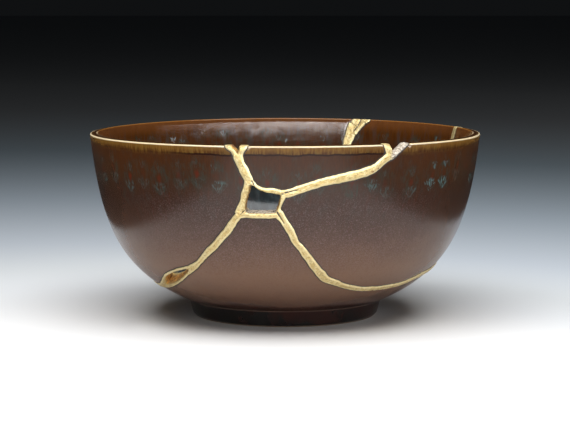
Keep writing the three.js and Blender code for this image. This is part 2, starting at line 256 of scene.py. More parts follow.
def unflat(points):
    """The azimuth and climb of points of the flat disc."""
    reach = np.log(np.hypot(points[:, 0], points[:, 1]))
    return np.arctan2(points[:, 0], -points[:, 1]), np.interp(reach, flat_log, flat_climb)


def shrink(up):
    """Flat distance for one mm on the bowl."""
    return np.exp(np.interp(up, flat_climb, flat_log)) / np.interp(up, flat_climb, flat_round)


def wall_frame(up, side):
    """Profile points of the glaze and the directions out of it, for side 1 outside and -1 inside."""
    low = np.minimum(up, WALL_CLIMB)
    point = np.stack([np.interp(low, climb, outline[:, i]) for i in (0, 1)], -1)
    out = unit(np.stack([np.interp(low, climb, outward[:, i]) for i in (0, 1)], -1))
    if side < 0:
        point = point - out * np.interp(low, climb, wall_thickness)[:, None]
        out = -out
    turn = np.clip((up - WALL_CLIMB) / LIP_CORNER, 0, math.pi / 2)[:, None]
    inward = np.clip(up - WALL_CLIMB - LIP_TURN, 0, LIP_FLAT)[:, None]
    lip_way = side * np.cos(turn) * lip_out + np.sin(turn) * lip_up
    lip_point = lip_middle + side * lip_out * (LIP_FLAT - inward) + lip_way * LIP_CORNER
    over = up > WALL_CLIMB
    point[over] = lip_point[over]
    out[over] = lip_way[over]
    return point, out


def around(azimuth, profile):
    """Profile points (radius, height) turned to their azimuths."""
    sway = LIP_SWAY * np.cos(2 * azimuth) * (np.clip(profile[:, 1], 0, None) / LIP_HEIGHT) ** 4
    return np.stack([
        profile[:, 0] * np.sin(azimuth), -profile[:, 0] * np.cos(azimuth), profile[:, 1] + sway], -1)


def on_wall(azimuth, up, side, rise):
    point, out = wall_frame(up, side)
    return around(azimuth, point + out * np.reshape(rise, (-1, 1)))


# ---- Lines and outlines on the wall

def smooth_line(stations, samples=24):
    """A smooth centripetal line through stations."""
    points = np.array(stations, float)
    points = np.vstack([2 * points[0] - points[1], points, 2 * points[-1] - points[-2]])
    pieces = []
    for a, b, c, d in zip(points, points[1:], points[2:], points[3:]):
        ab, bc, cd = (max(np.linalg.norm(q - p), 1e-6) ** 0.5 for p, q in ((a, b), (b, c), (c, d)))
        leave = ((b - a) / ab - (c - a) / (ab + bc) + (c - b) / bc) * bc
        arrive = ((c - b) / bc - (d - b) / (bc + cd) + (d - c) / cd) * bc
        t = np.linspace(0, 1, samples, endpoint=False)[:, None]
        pieces.append(
            b + leave * t + (3 * (c - b) - 2 * leave - arrive) * t ** 2
            + (2 * (b - c) + leave + arrive) * t ** 3)
    return np.vstack(pieces + [points[-2:-1]])


def even_line(stations):
    """The same line as azimuth (radians), climb and width, at even steps along the wall."""
    line = smooth_line(stations)
    azimuth, up, width = np.radians(line[:, 0]), climb_at(line[:, 1]), line[:, 2]
    spots = on_wall(azimuth, np.minimum(up, TOP_CLIMB), 1, np.zeros(len(up)))
    run = np.concatenate([[0], np.cumsum(np.linalg.norm(np.diff(spots, axis=0), axis=1))])
    run += np.linspace(0, 1e-3, len(run))
    even = np.linspace(0, run[-1], max(4, int(run[-1] / LINE_STEP)))
    return np.stack([np.interp(even, run, values) for values in (azimuth, up, width)], -1)


def wander(count, seed, scale, step=LINE_STEP):
    """Smooth noise along a line, from -1 to 1."""
    return np.array([noise.noise(Vector((i * step / scale, seed * 7.31, 0.5))) for i in range(count)])


def band_sides(line, seed, waver=1.0, extra=0.0):
    """The two edges of a band along a line, on the flat disc."""
    middle = flat(line[:, 0], line[:, 1])
    ahead = unit(np.gradient(middle, axis=0))
    across = np.stack([-ahead[:, 1], ahead[:, 0]], -1)
    sides = []
    for sign in (1, -1):
        uneven = sum(
            size * wander(len(line), seed + sign * own, length) for size, length, own in SEAM_WAVER)
        half = (line[:, 2] / 2 + waver * uneven + extra) * shrink(line[:, 1])
        sides.append(middle + sign * across * half[:, None])
    return sides


def loop_of(sides):
    return np.vstack([sides[0], sides[1][::-1]])


def outline_loop(corners, seed):
    """A closed outline of [azimuth, height] corners with softened corners and an uneven edge."""
    points = np.array(corners, float)
    points = np.stack([np.radians(points[:, 0]), climb_at(points[:, 1])], -1)
    spots = flat(points[:, 0], points[:, 1])
    for _ in range(2):
        following = np.roll(spots, -1, axis=0)
        spots = np.stack([spots * 0.8 + following * 0.2, spots * 0.2 + following * 0.8], 1).reshape(-1, 2)
    following = np.roll(spots, -1, axis=0)
    dense = []
    for a, b in zip(spots, following):
        parts = max(1, round(np.linalg.norm(b - a) / LINE_STEP))
        dense.extend(a + (b - a) * k / parts for k in range(parts))
    dense = np.array(dense)
    forward = unit(np.roll(dense, -1, axis=0) - np.roll(dense, 1, axis=0))
    across = np.stack([forward[:, 1], -forward[:, 0]], -1)
    uneven = 0.18 * wander(len(dense), seed, 1.6)
    uneven *= np.clip(np.minimum(np.arange(len(dense)), len(dense) - np.arange(len(dense))) / 4, 0, 1)
    return dense + across * uneven[:, None]


SEAM_LINES = [even_line(stations) for stations in SEAMS.values()]


def tree_of(points):
    """A search tree over points, flat or in space."""
    tree = kdtree.KDTree(len(points))
    for i, point in enumerate(points):
        tree.insert((*point, 0)[:3], i)
    tree.balance()
    return tree


def turned_left(loop):
    x, y = loop[:, 0], loop[:, 1]
    area = np.sum(x * np.roll(y, -1) - np.roll(x, -1) * y)
    return loop if area > 0 else loop[::-1]


# ---- The flat drawing, cut into triangles

class Surroundings:
    """Where the seams run, to keep the places beside them free of stray vertices."""

    def __init__(self, centres):
        middles = flat(centres[:, 0], centres[:, 1])
        self.tree = tree_of(middles)
        self.scale = shrink(centres[:, 1])
        self.half = centres[:, 2] / 2 * self.scale

    def clear(self, x, y, margin):
        """Whether a flat point is at least margin (mm) outside every seam."""
        return all(
            distance >= self.half[i] + margin * self.scale[i]
            for _, i, distance in self.tree.find_range((x, y, 0), 5.0))


def glaze_rows():
    """How far up each row of glaze vertices is: rows round the bowl, closer together over the lip."""
    ups = []
    up = 0.0
    while up < WALL_CLIMB - 0.6:
        up += 2 * math.pi * np.interp(up, climb, outline[:, 0]) / COLUMNS
        ups.append(up)
    rows = [u * (WALL_CLIMB / ups[-1]) for u in ups]
    rows += [WALL_CLIMB + LIP_TURN * k / CORNER_ROWS for k in range(1, CORNER_ROWS + 1)]
    return rows + [WALL_CLIMB + LIP_TURN + LIP_FLAT / 2]


def gold_grid(centres):
    """A fine grid of flat points inside the seams."""
    low_log, high_log = flat_log[0], math.log(LIP_RADIUS)
    rows = int((high_log - low_log) / GRAIN_TURN)
    columns = int(round(2 * math.pi / GRAIN_TURN))
    filled = np.zeros((rows, columns), bool)
    for (azimuth, up, width), scale in zip(centres, shrink(centres[:, 1])):
        reach = math.log(LIP_RADIUS) if up >= TOP_CLIMB else float(np.interp(up, flat_climb, flat_log))
        span = (width / 2 - GRAIN_INSET) * scale / math.exp(reach)
        row = (reach - low_log) / GRAIN_TURN
        column = azimuth / GRAIN_TURN
        size = int(span / GRAIN_TURN) + 1
        r = np.arange(int(row) - size, int(row) + size + 1)
        c = np.arange(int(column) - size, int(column) + size + 1)
        near = (r[:, None] - row) ** 2 + (c[None, :] - column) ** 2 < (span / GRAIN_TURN) ** 2
        keep = (r >= 0) & (r < rows)
        filled[np.ix_(r[keep], c % columns)] |= near[keep]
    grid = []
    for row, column in zip(*np.nonzero(filled)):
        reach = math.exp(low_log + row * GRAIN_TURN)
        angle = (column + 0.5 * (row % 2)) * GRAIN_TURN
        grid.append((reach * math.sin(angle), -reach * math.cos(angle)))
    return grid


def scattered_points():
    """Vertices between the outlines: the glaze's rows, a fence beside each seam, the gold's grid."""
    centres = np.vstack(SEAM_LINES)
    seams = Surroundings(centres)
    scattered = []
    for up in glaze_rows():
        row = flat(TURNS, np.full(COLUMNS, up))
        scattered += [(x, y) for x, y in row if seams.clear(x, y, ROW_CLEARANCE)]
    for i, line in enumerate(SEAM_LINES):
        for side in band_sides(line, i, extra=FENCE):
            scattered += [
                (x, y) for x, y in side[::2]
                if math.hypot(x, y) < LIP_RADIUS - 0.2 and seams.clear(x, y, FENCE_CLEARANCE)]
    return scattered + gold_grid(centres)


def draw_flat():
    """Triangles of the whole wall on the flat disc, each marked as glaze, gold or lost."""
    gold_loops = [loop_of(band_sides(line, i)) for i, line in enumerate(SEAM_LINES)]
    lost_loops = [outline_loop(corners, 30 + i) for i, corners in enumerate(LOST.values())]
    lost_loops.append(loop_of(band_sides(even_line(LEAF_SLOT), 50, waver=0.8)))

    rim = flat(TURNS, np.full(COLUMNS, TOP_CLIMB))
    waist = flat(TURNS, np.zeros(COLUMNS))
    loops = [rim, waist] + gold_loops + lost_loops
    kinds = ["rim", "waist"] + ["gold"] * len(gold_loops) + ["lost"] * len(lost_loops)

    points, faces = [], []
    for loop in loops:
        faces.append(list(range(len(points), len(points) + len(loop))))
        points.extend(Vector(p) for p in turned_left(loop))
    points.extend(Vector(p) for p in scattered_points())
    found, _, triangles, _, _, sources = delaunay_2d_cdt(points, [], faces, 0, 1e-3, True)
    kept, marks = [], []
    for triangle, source in zip(triangles, sources):
        names = {kinds[i] for i in source if i < len(kinds)}
        if "rim" not in names or "waist" in names:
            continue
        kept.append(triangle)
        marks.append("lost" if "lost" in names else "gold" if "gold" in names else "glaze")
    return np.array([p[:] for p in found]), np.array(kept), np.array(marks)


# ---- From the flat drawing to solids

def edge_codes(triangles, count):
    """Every triangle's three directed edges as single numbers."""
    a = triangles
    b = np.roll(triangles, -1, axis=1)
    return (a.astype(np.int64) * count + b).ravel()


def border(triangles, count):
    """Directed edges (a, b) at the border of a set of triangles."""
    codes = edge_codes(triangles, count)
    back = (codes % count) * count + codes // count
    loose = codes[~np.isin(back, codes)]
    return np.stack([loose // count, loose % count], 1)


def separate(triangles, count):
    """Numbers the connected pieces of a set of triangles."""
    parent = list(range(count))

    def root(i):
        while parent[i] != i:
            parent[i] = parent[parent[i]]
            i = parent[i]
        return i

    for a, b, c in triangles.tolist():
        parent[root(b)] = root(a)
        parent[root(c)] = root(a)
    return np.array([root(a) for a in triangles[:, 0].tolist()])


def distance_to(targets, spots, far=FAR):
    """Distance from each spot to the nearest target, at most far."""
    if len(targets) == 0:
        return np.full(len(spots), far)
    tree = tree_of(targets)
    return np.minimum([tree.find(spot)[2] for spot in spots], far)


def lumps(spots, scale, seed):
    """Smooth noise over spots, from about -1 to 1."""
    shift = Vector((seed * 13.7, seed * 5.1, seed * 3.3))
    return np.array([noise.noise(Vector(spot) / scale + shift) for spot in spots])


def rough_by(layers, spots):
    """Noise in layers, each of a height, a size and a seed."""
    return sum(height * lumps(spots, size, seed) for height, size, seed in layers)


class Drawing:
    """The flat drawing with each vertex's place on both faces of the wall."""

    def __init__(self):
        points, self.triangles, self.marks = draw_flat()
        self.count = len(points)
        self.azimuth, self.up = unflat(points)
        self.flat = points
        self.drop_specks()
        outside = on_wall(self.azimuth, np.minimum(self.up, TOP_CLIMB), 1, np.zeros(self.count))
        a, b, c = (outside[self.triangles[:, i]] for i in range(3))
        facing = np.einsum("ij,ij->i", np.cross(b - a, c - a), a + b + c - 3 * np.array([0, 0, 60.0]))
        self.mirrored = np.median(facing) < 0
        if self.mirrored:
            self.triangles = self.triangles[:, ::-1]

        self.gold = self.triangles[self.marks == "gold"]
        self.glaze = self.triangles[self.marks == "glaze"]
        self.lost = self.triangles[self.marks == "lost"]
        ends = np.unique(border(self.triangles, self.count))
        self.rim = self.among(ends[self.up[ends] > WALL_CLIMB])
        self.waist = self.among(ends[self.up[ends] < 1])
        self.up[self.rim] = TOP_CLIMB
        self.up[self.waist] = 0
        self.up = np.clip(self.up, 0, TOP_CLIMB)

        in_gold, in_glaze, in_lost = (self.among(kind) for kind in (self.gold, self.glaze, self.lost))
        self.plain = [on_wall(self.azimuth, self.up, side, np.zeros(self.count)) for side in (1, -1)]
        self.to_glaze, self.to_lost = [], []
        for side in (0, 1):
            spots = self.plain[side]
            self.to_glaze.append(distance_to(spots[in_gold & in_glaze], spots))
            self.to_lost.append(distance_to(spots[(in_gold | in_glaze) & in_lost], spots))
        self.lost_codes = edge_codes(self.lost, self.count)
        self.along_seams()
        self.crease = self.near_lines(CREASES.values(), 1.0)
        self.silver_face = np.clip(1.6 * self.near_lines(SILVER_FACES, 2.2), 0, 1)
        self.silver_bead = np.clip(2.0 * self.near_lines(SILVER_BEADS, 3.0), 0, 1)
        self.glaze_parts = separate(self.glaze, self.count)

    def among(self, vertices):
        """Which of all the vertices are among these."""
        return np.isin(np.arange(self.count), vertices)

    def along_seams(self):
        """How far along the nearest seam each vertex is, and how far to its side, in mm."""
        spots, ahead, run = [], [], []
        for i, line in enumerate(SEAM_LINES):
            middle = flat(line[:, 0], line[:, 1])
            spots.append(middle)
            ahead.append(unit(np.gradient(middle, axis=0)))
            run.append(np.arange(len(line)) * LINE_STEP + 200.0 * i)
        spots, ahead, run = np.vstack(spots), np.vstack(ahead), np.concatenate(run)
        tree = tree_of(spots)
        gold = np.unique(self.gold)
        near = np.array([tree.find((x, y, 0))[1] for x, y in self.flat[gold]])
        off = (self.flat[gold] - spots[near]) / shrink(self.up[gold])[:, None]
        self.along, self.across = np.zeros(self.count), np.zeros(self.count)
        self.along[gold] = run[near] + np.einsum("ij,ij->i", off, ahead[near])
        self.across[gold] = off[:, 1] * ahead[near, 0] - off[:, 0] * ahead[near, 1]

    def near_lines(self, lines, reach):
        """From 1 on the lines down to 0 at their reach in mm. A line's third numbers scale its reach."""
        near = np.zeros(self.count)
        gold = np.unique(self.gold)
        for line in lines:
            stations = smooth_line([(*p, 1.0)[:3] for p in line], 30)
            spots = flat(np.radians(stations[:, 0]), climb_at(stations[:, 1]))
            gaps = np.linalg.norm(self.flat[gold][:, None] - spots[None], axis=2)
            nearest = gaps.argmin(axis=1)
            gap = gaps.min(axis=1) / shrink(self.up[gold]) / (reach * stations[nearest, 2])
            near[gold] = np.maximum(near[gold], np.clip(1 - gap, 0, 1))
        return near

    def notes(self, side, kind):
        """What the finish needs to know at each vertex."""
        run = (self.up - TOP_CLIMB) * (1 - 2 * side)
        if kind == "glaze":
            return {"edge": self.to_glaze[side], "run": run}
        return {
            "edge": self.to_glaze[side], "along": self.along, "across": self.across,
            "silver": self.silver_bead, "crease": self.crease}

    def drop_specks(self):
        """Specks of glaze caught between overlapping seams are gold."""
        glaze = np.nonzero(self.marks == "glaze")[0]
        parts = separate(self.triangles[glaze], self.count)
        names, sizes = np.unique(parts, return_counts=True)
        specks = names[sizes < SPECK]
        self.marks[glaze[np.isin(parts, specks)]] = "gold"

    def rise(self, side, kind):
        """How far the finished surface stands off the thrown wall, in mm."""
        to_glaze, to_lost = self.to_glaze[side], self.to_lost[side]
        if kind == "glaze":
            return np.where(to_glaze < 0.02, -GLAZE_DIP, 0.0)
        shoulder = 1 - np.clip(to_glaze / GOLD_SHOULDER, 0, 1)
        rise = -GLAZE_DIP + (GOLD_RISE + GLAZE_DIP) * np.sqrt(1 - shoulder ** 2)
        lip = 1 - np.clip(to_lost / BREAK_LIP, 0, 1)
        rise -= BREAK_DROP * (1 - np.sqrt(1 - lip ** 2))
        gold = np.unique(self.gold)
        spots = self.plain[side][gold]
        fade = np.clip(to_glaze[gold] / 0.5, 0, 1)
        strokes = np.stack([
            self.across[gold] * 1.5, self.along[gold] * 0.16, self.along[gold] * 0 + 3 * side], -1)
        rough = rough_by(GOLD_ROUGHNESS, spots) + STROKE_DEPTH * lumps(strokes, 1.0, 4)
        rise[gold] += rough * fade - CREASE_DEPTH * self.crease[gold] ** 0.7
        over_lip = np.clip((self.up - WALL_CLIMB + 0.5) / (LIP_TURN + 0.5), 0, 1)
        return np.minimum(rise, GOLD_LIMIT) * (1 - LIP_THINNING * over_lip)

    def off_edge(self, edges):
        """The direction in space, along the wall, that leads out over each border vertex."""
        heads = np.zeros((self.count, 2))
        step = self.flat[edges[:, 1]] - self.flat[edges[:, 0]]
        out = np.stack([step[:, 1], -step[:, 0]], -1)
        for end in (0, 1):
            np.add.at(heads, edges[:, end], out)
        centre = unit(self.flat)
        sign = -1 if self.mirrored else 1
        upward = np.einsum("ij,ij->i", heads, centre) * sign
        turning = (heads[:, 1] * centre[:, 0] - heads[:, 0] * centre[:, 1]) * sign
        slope = np.stack([np.interp(np.minimum(self.up, WALL_CLIMB), climb, along[:, i]) for i in (0, 1)], -1)
        climbing = around(self.azimuth, slope)
        circling = np.stack([np.cos(self.azimuth), np.sin(self.azimuth), np.zeros(self.count)], -1)
        ways = climbing * upward[:, None] + circling * turning[:, None]
        return ways / np.maximum(np.linalg.norm(ways, axis=1, keepdims=True), 1e-9)


def placed(name, data):
    """An object of the scene."""
    thing = bpy.data.objects.new(name, data)
    bpy.context.scene.collection.objects.link(thing)
    return thing


class Solid:
    """Vertices and faces of one closed piece, with what its finish needs to know at each vertex."""

    def __init__(self, *labels):
        self.spots, self.faces = [], []
        self.notes = {label: [] for label in labels}
        self.sharp = set()

    def add(self, spots, **notes):
        first = len(self.spots)
        self.spots.extend(map(tuple, spots))
        for label, values in self.notes.items():
            values.extend(np.broadcast_to(notes.get(label, 0.0), len(spots)).tolist())
        return np.arange(first, len(self.spots))

    def face(self, *corners):
        ring = [c for i, c in enumerate(corners) if c != corners[i - 1]]
        if len(set(ring)) > 2:
            self.faces.append(tuple(int(c) for c in ring))

    def object(self, name):
        mesh = bpy.data.meshes.new(name)
        mesh.from_pydata([(x * MM, y * MM, z * MM) for x, y, z in self.spots], [], self.faces)
        mesh.validate()
        mesh.update()
        mesh.shade_smooth()
        for label, values in self.notes.items():
            attribute = mesh.attributes.new(label, "FLOAT", "POINT")
            attribute.data.foreach_set("value", np.array(values, np.float32))
        if self.sharp:
            flags = [tuple(sorted(e.vertices)) in self.sharp for e in mesh.edges]
            attribute = mesh.attributes.new("sharp_edge", "BOOLEAN", "EDGE")
            attribute.data.foreach_set("value", flags)
        return placed(name, mesh)


def wall_solid(drawing, triangles, kind):
    """Both faces of the wall over a set of triangles, closed along its border."""
    solid = Solid(*NOTES[kind])
    used = np.unique(triangles)
    lookup = np.full(drawing.count, -1)
    lookup[used] = np.arange(len(used))
    sheets = []
    for side in (0, 1):
        rise = drawing.rise(side, kind)
        spots = on_wall(drawing.azimuth, drawing.up, 1 - 2 * side, rise)
        notes = drawing.notes(side, kind)
        new = solid.add(spots[used], **{label: values[used] for label, values in notes.items()})
        index = new[lookup]
        if side == 1:
            index[drawing.rim] = sheets[0][drawing.rim]
        sheets.append(index)
    front, back = sheets
    for a, b, c in triangles.tolist():
        solid.face(front[a], front[b], front[c])
        solid.face(back[c], back[b], back[a])

    edges = border(triangles, drawing.count)
    edges = edges[~(drawing.waist[edges].all(axis=1))]
    edges = edges[~(drawing.rim[edges].all(axis=1))]
    opened = np.isin(edges[:, 1] * drawing.count + edges[:, 0], drawing.lost_codes)
    ways = drawing.off_edge(edges[opened])
    rungs = {}
    on_break = np.unique(edges[opened])
    for v in on_break.tolist():
        if front[v] == back[v]:
            rungs[v] = [front[v]] * (BREAK_STEPS + 1)
            continue
        t = np.linspace(0, 1, BREAK_STEPS + 1)[1:-1, None]
        start, end = np.array(solid.spots[front[v]]), np.array(solid.spots[back[v]])
        places = start + (end - start) * t
        bulge = BREAK_BULGE[kind] * np.sin(np.pi * t) ** 0.6
        rough = rough_by(BREAK_ROUGHNESS, places)
        places = places + ways[v] * (bulge + rough[:, None] * np.sin(np.pi * t))
        inner = solid.add(
            places, edge=3.0, open=np.sin(np.pi * t[:, 0]) ** 0.5,
            silver=max(drawing.silver_face[v], drawing.silver_bead[v]),
            along=drawing.along[v], across=drawing.across[v] + places @ (0.3, 0.5, 0.8))
        rungs[v] = [front[v], *inner, back[v]]
    for (a, b), is_open in zip(edges.tolist(), opened.tolist()):
        if is_open:
            for i in range(BREAK_STEPS):
                solid.face(rungs[b][i], rungs[a][i], rungs[a][i + 1], rungs[b][i + 1])
        else:
            solid.face(front[b], front[a], back[a], back[b])
        if kind == "glaze" or not is_open:
            solid.sharp.add(tuple(sorted((int(front[a]), int(front[b])))))
            solid.sharp.add(tuple(sorted((int(back[a]), int(back[b])))))
    return solid, front, back


# ---- Foot and floor of the base shard

def softened(corners, radii, steps=6):
    """A profile through corners, each rounded off by a length along both of its arms."""
    points = [np.array(corners[0], float)]
    for before, corner, after, radius in zip(corners, corners[1:], corners[2:], radii):
        before, corner, after = (np.array(p, float) for p in (before, corner, after))
        start = corner + unit(before - corner) * radius
        end = corner + unit(after - corner) * radius
        points.extend(bezier([start, corner, end], np.linspace(0, 1, steps)))
    points.append(np.array(corners[-1], float))
    return np.array(points)


def spaced(points, step):
    """The same profile with no stretch longer than a step."""
    out = [points[0]]
    for a, b in zip(points, points[1:]):
        parts = max(1, math.ceil(np.linalg.norm(b - a) / step))
        out.extend(a + (b - a) * k / parts for k in range(1, parts + 1))
    return np.array(out)


def foot_profile():
    """From the waist down the foot, under its ring and in to the middle of the underside."""
    corners = [
        (WAIST_RADIUS, WAIST_HEIGHT), (WAIST_RADIUS - 0.35, WAIST_HEIGHT - 1.0),
        (FOOT_RADIUS + 0.25, 1.2), (FOOT_RADIUS - 0.9, 0), (FOOT_INSIDE_RADIUS, 0),
        (FOOT_INSIDE_RADIUS - 2, FOOT_RECESS), (0, FOOT_RECESS)]
    return spaced(softened(corners, (0.45, 0.5, 0.5, 0.5, 1.2)), 1.4)


def floor_profile():
    """From the foot of the wall's inside in to the middle of the floor, with throwing rings."""
    corner, _ = wall_frame(np.array([0.0]), -1)
    corner = corner[0]
    slope = along[0]
    bend = corner[0] - (corner[1] - FLOOR_HEIGHT) * slope[0] / slope[1]
    line = bezier([corner, (bend, FLOOR_HEIGHT), (0, FLOOR_HEIGHT)], np.linspace(0, 1, 46))
    radius = line[:, 0]
    rings = RING_HEIGHT * np.sin(radius * 2 * math.pi / RING_GAP) * np.clip(radius / 8, 0, 1)
    line[:, 1] += rings * np.clip((corner[0] - radius) / 6, 0, 1)
    return line


def close_round(solid, first_ring, profile, facing):
    """Turns a profile from a ring of vertices in to the axis."""
    ring = first_ring
    run = TOP_CLIMB + np.concatenate([[0], np.cumsum(np.linalg.norm(np.diff(profile, axis=0), axis=1))])
    for point, way in zip(profile[1:-1], run[1:-1]):
        spots = around(TURNS, np.tile(point, (COLUMNS, 1)))
        new = solid.add(spots, edge=FAR, run=-facing * way)
        for i in range(COLUMNS):
            j = (i + 1) % COLUMNS
            quad = (ring[i], new[i], new[j], ring[j])
            solid.face(*(quad if facing > 0 else quad[::-1]))
        ring = new
    pole = solid.add(around(np.zeros(1), profile[-1:]), edge=FAR, run=-facing * run[-1])[0]
    for i in range(COLUMNS):
        j = (i + 1) % COLUMNS
        corners = (ring[i], pole, ring[j])
        solid.face(*(corners if facing > 0 else corners[::-1]))


def waist_ring(drawing, sheet):
    """The vertices of a sheet round the waist, in order of azimuth."""
    ring = np.zeros(COLUMNS, int)
    for v in np.nonzero(drawing.waist)[0]:
        ring[round(drawing.azimuth[v] / (2 * math.pi) * COLUMNS) % COLUMNS] = sheet[v]
    return ring


def nearest_part(drawing, azimuth, height):
    """The triangles of the shard that holds a place."""
    spot = flat(math.radians(azimuth), climb_at(height))
    middles = drawing.flat[drawing.glaze].mean(axis=1)
    part = drawing.glaze_parts[np.argmin(np.linalg.norm(middles - spot, axis=1))]
    return drawing.glaze[drawing.glaze_parts == part]


def make_bowl():
    """The five shards and the gold, each replacing its plain solid."""
    drawing = Drawing()
    pieces = {}
    for name, (azimuth, height) in SHARDS.items():
        solid, front, back = wall_solid(drawing, nearest_part(drawing, azimuth, height), "glaze")
        if name == "base_shard":
            close_round(solid, waist_ring(drawing, front), foot_profile(), 1)
            close_round(solid, waist_ring(drawing, back), floor_profile(), -1)
        pieces[name] = solid.object("glazed_" + name)
    solid, _, _ = wall_solid(drawing, drawing.gold, "gold")
    pieces["gold_seams"] = solid.object("raised_gold_seams")
    return pieces


pieces = make_bowl()
for node, piece in pieces.items():
    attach(piece, "root")
    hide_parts(node)


# ---- Writing finishes as sums

class Value:
    """What a node gives out. Sums and products of values are nodes in turn."""

    def __init__(self, finish, socket):
        self.finish, self.socket = finish, socket

    def math(self, operation, *values):
        return self.finish.node("Math", {"operation": operation}, values)

    def __add__(self, other):
        return self.math("ADD", self, other)

    def __sub__(self, other):
        return self.math("SUBTRACT", self, other)

    def __rsub__(self, other):
        return self.math("SUBTRACT", other, self)

    def __mul__(self, other):
        return self.math("MULTIPLY", self, other)

    def __truediv__(self, other):
        return self.math("DIVIDE", self, other)

    def __pow__(self, other):
        return self.math("POWER", self, other)

    def __abs__(self):
        return self.math("ABSOLUTE", self)

    __radd__ = __add__
    __rmul__ = __mul__


class Finish:
    """A material that is written as expressions."""

    def __init__(self, name):
        self.material = bpy.data.materials.new(name)
        self.material.use_nodes = True
        self.tree = self.material.node_tree
        self.shader = self.tree.nodes["Principled BSDF"]

    def node(self, kind, settings=None, inputs=(), output=0):
        node = self.tree.nodes.new("ShaderNode" + kind)
        for name, value in (settings or {}).items():
            if name == "stops":
                self.set_stops(node.color_ramp, value)
            else:
                setattr(node, name, value)
        pairs = inputs.items() if isinstance(inputs, dict) else enumerate(inputs)
        for key, value in pairs:
            self.join(node.inputs[key], value)
        return Value(self, node.outputs[output])

    def join(self, socket, value):
        if isinstance(value, Value):
            self.tree.links.new(value.socket, socket)
        elif socket.type == "RGBA":
            socket.default_value = rgba(value)
        else:
            socket.default_value = value

    def set_stops(self, ramp, stops):
        while len(ramp.elements) < len(stops):
            ramp.elements.new(0.5)
        for element, (place, color) in zip(ramp.elements, stops):
            element.position = place
            element.color = rgba(color)

    def place(self):
        """Where on the object, in mm."""
        spot = self.node("TexCoord", output="Object")
        return self.node("VectorMath", {"operation": "SCALE"}, {"Vector": spot, "Scale": 1 / MM})

    def split(self, vector):
        node = self.node("SeparateXYZ", None, [vector]).socket.node
        return [Value(self, output) for output in node.outputs]

    def vector(self, x, y, z):
        return self.node("CombineXYZ", None, [x, y, z])

    def note(self, label):
        return self.node("Attribute", {"attribute_name": label}, output="Fac")

    def noise(self, vector, size, detail=2.0, rough=0.5):
        return self.node("TexNoise", None, {
            "Vector": vector, "Scale": 1 / size, "Detail": detail, "Roughness": rough})

    def chance(self, value):
        """A number from 0 to 1 that is the same wherever the value is."""
        return self.node("TexWhiteNoise", {"noise_dimensions": "1D"}, {"W": value})

    def step(self, value, low, high):
        """Smoothly from 0 at low to 1 at high."""
        return self.node("MapRange", {"interpolation_type": "SMOOTHSTEP"}, {
            "Value": value, "From Min": low, "From Max": high})

    def mix(self, share, first, second):
        return self.node("Mix", {"data_type": "RGBA", "clamp_factor": True}, {
            0: share, 6: first, 7: second}, output=2)

    def coats(self, color, *coats):
        """A colour under coats, each a share and a colour."""
        for share, coat in coats:
            color = self.mix(share, color, coat)
        return color

    def ramp(self, value, low, high, tones):
        """Colours at places along a value."""
        stops = [((place - low) / (high - low), color) for place, color in tones]
        return self.node("ValToRGB", {"stops": stops}, [(value - low) / (high - low)])

    def surface(self, color, roughness, relief, height, **fixed):
        """Joins everything up: relief is a height in mm, scaled by height."""
        self.join(self.shader.inputs["Base Color"], color)
        self.join(self.shader.inputs["Roughness"], roughness)
        bump = self.node("Bump", None, {"Height": relief, "Distance": height * MM, "Strength": 1.0})
        self.join(self.shader.inputs["Normal"], bump)
        for name, value in fixed.items():
            self.join(self.shader.inputs[name.replace("_", " ")], value)
        return self.material


def rgba(color):
    """A colour given in light's own scale, or as painters' code, such as 8a5a2b."""
    if not isinstance(color, str):
        return (*color, 1)
    parts = [int(color[i:i + 2], 16) / 255 for i in (0, 2, 4)]
    return (*(c / 12.92 if c <= 0.04045 else ((c + 0.055) / 1.055) ** 2.4 for c in parts), 1)


# ---- Brown glaze

MOTIFS = 52               # dabs of colour round the bowl
MOTIF_HEIGHT = 66.5
BAND_FOOT = 76.6          # the amber band reaches down from the lip to here

# Tones of the glaze by height
BODY_TONES = [
    (7.0, "36241b"), (9.2, "3f2a21"), (9.9, "5e4438"), (16.0, "6d5140"), (26.0, "775844"),
    (33.0, "6f513f"), (41.0, "5c4133"), (49.0, "4c3326"), (57.0, "462d20"), (66.0, "492e1b"),
    (74.0, "4f2c13"), (80.0, "4f2c13")]
INSIDE_TONES = [
    (7.0, "1b1d1f"), (16.0, "20262a"), (40.0, "262c2f"), (56.0, "2a2b29"), (66.0, "38281e"),
    (73.0, "44270f"), (80.0, "6a3d14")]


def feathers(paint, across, above, length, spread, seed):
    """Fine crystals that fan upward and outward from a root."""
    step = paint.step
    span = (across * across + above * above) ** 0.5
    lean = paint.node("Math", {"operation": "ARCTAN2"}, [across, above])
    rays = paint.noise(paint.vector(lean * 5.5, span * 0.45, seed), 1.0, 3, 0.6)
    whole = step(span, 0.3, 1.2) * (1 - step(span, length * 0.75, length))
    fan = 1 - step(abs(lean), spread * 0.7, spread)
    return step(rays, 0.47, 0.6) * whole * fan


